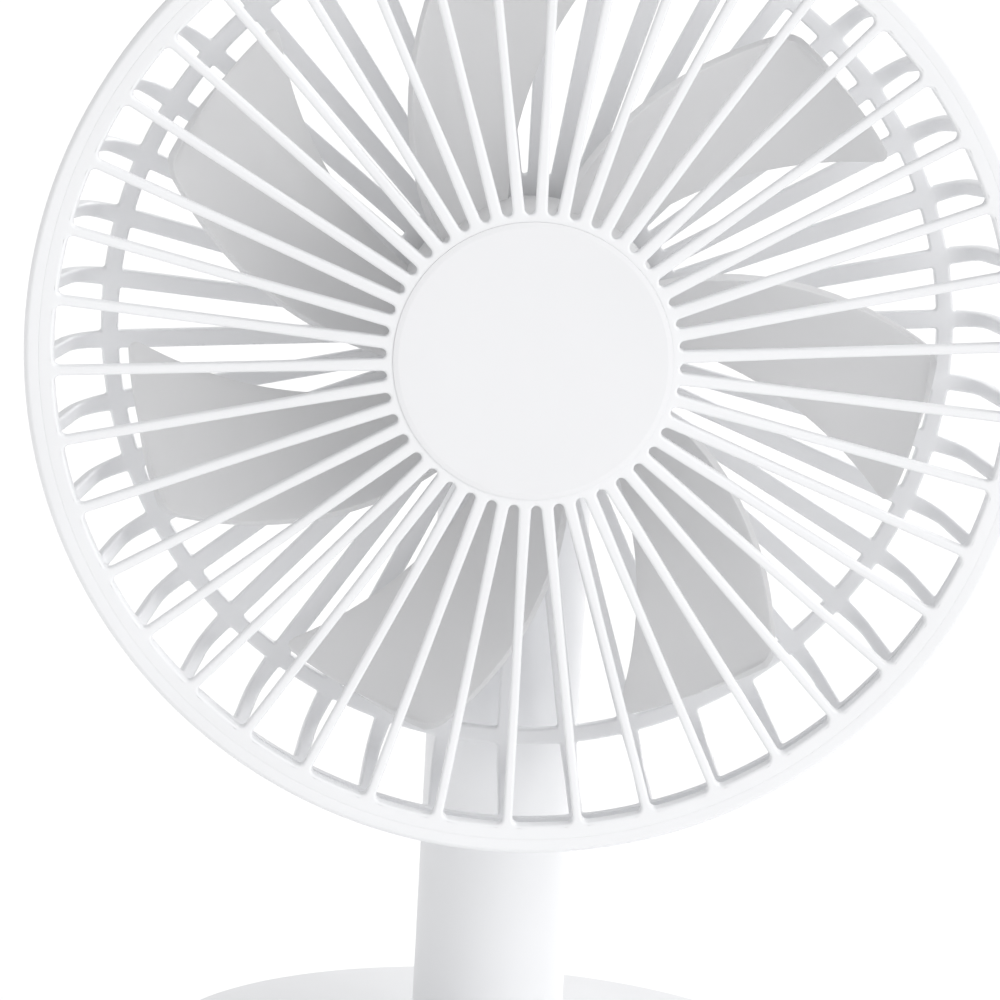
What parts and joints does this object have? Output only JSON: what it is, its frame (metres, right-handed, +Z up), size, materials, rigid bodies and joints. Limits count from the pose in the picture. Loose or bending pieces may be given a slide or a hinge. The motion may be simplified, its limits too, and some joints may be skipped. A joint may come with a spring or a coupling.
{
  "type": "desk fan",
  "caption": "Compact desk fan with a straight-barred round grille, swept-blade impeller, tilting head, cylindrical post and weighted round base.",
  "frame": {"origin": "centre of the foot ring's bottom face, on the post's axis", "axes": "+Z up along the post, -Y the way the fan blows, +X to the right as seen from the front of the grille"},
  "size_m": [0.1702, 0.1228, 0.2472],
  "materials": {
    "white_shell": "fine satin moulded",
    "impeller_plastic": "satin moulded",
    "steel": "plain",
    "magnet": "sintered",
    "copper": "enamelled wire",
    "rubber": "matte",
    "board": "solder mask",
    "black_plastic": "moulded",
    "battery_wrap": "shrink film",
    "lens": "polished"
  },
  "bodies": {
    "base": {"base_shell": "white_shell", "bottom_plate": "white_shell", "foot_ring": "rubber", "ballast_ring": "steel", "battery": "battery_wrap", "control_board": "board", "usb_socket": "steel", "button_board": "board", "tact_switch": "black_plastic", "button_spring": "steel", "indicator_lens": "lens", "thrust_washer": "black_plastic", "base_screw_1": "steel", "base_screw_2": "steel", "base_screw_3": "steel", "base_screw_4": "steel"},
    "post": {"post_tube": "white_shell", "post_foot": "black_plastic", "swivel_washer": "steel", "post_yoke": "white_shell", "pivot_pin": "steel", "pivot_nut": "steel", "pivot_cap_left": "white_shell", "pivot_cap_right": "white_shell", "tilt_washer_left": "black_plastic", "tilt_washer_right": "black_plastic"},
    "head": {"front_grille": "white_shell", "front_cap": "white_shell", "guard_ring": "white_shell", "rear_grille": "white_shell", "tilt_bracket": "white_shell", "motor_bracket": "white_shell", "bearing_front": "steel", "bearing_rear": "steel", "motor_board": "board", "stator_core": "steel", "bracket_screw_1": "steel", "bracket_screw_2": "steel", "bracket_screw_3": "steel", "motor_screw_1": "steel", "motor_screw_2": "steel", "motor_screw_3": "steel", "coil_1": "copper", "coil_2": "copper", "coil_3": "copper", "coil_4": "copper", "coil_5": "copper", "coil_6": "copper"},
    "impeller": {"impeller": "impeller_plastic", "rotor_cup": "steel", "rotor_magnet": "magnet", "motor_shaft": "steel", "shaft_clip": "steel"},
    "button": {"power_button": "white_shell"}
  },
  "joints": [
    {"name": "post_swivel", "type": "hinge", "parent": "base", "child": "post", "pos_m": [0, 0, 0.024], "axis": [0, 0, 1], "range_deg": [-45, 45]},
    {"name": "head_tilt", "type": "hinge", "parent": "post", "child": "head", "pos_m": [0, 0, 0.162], "axis": [-1, 0, 0], "range_deg": [-4, 20]},
    {"name": "impeller_spin", "type": "hinge", "parent": "head", "child": "impeller", "pos_m": [0, 0, 0.162], "axis": [0, -1, 0], "continuous": true},
    {"name": "button_press", "type": "slide", "parent": "base", "child": "button", "axis": [0, 0, -1], "range_m": [0, 0.0007], "stiffness_N_per_m": 500, "springref_m": -0.002, "deforming": ["button_spring"]}
  ]
}
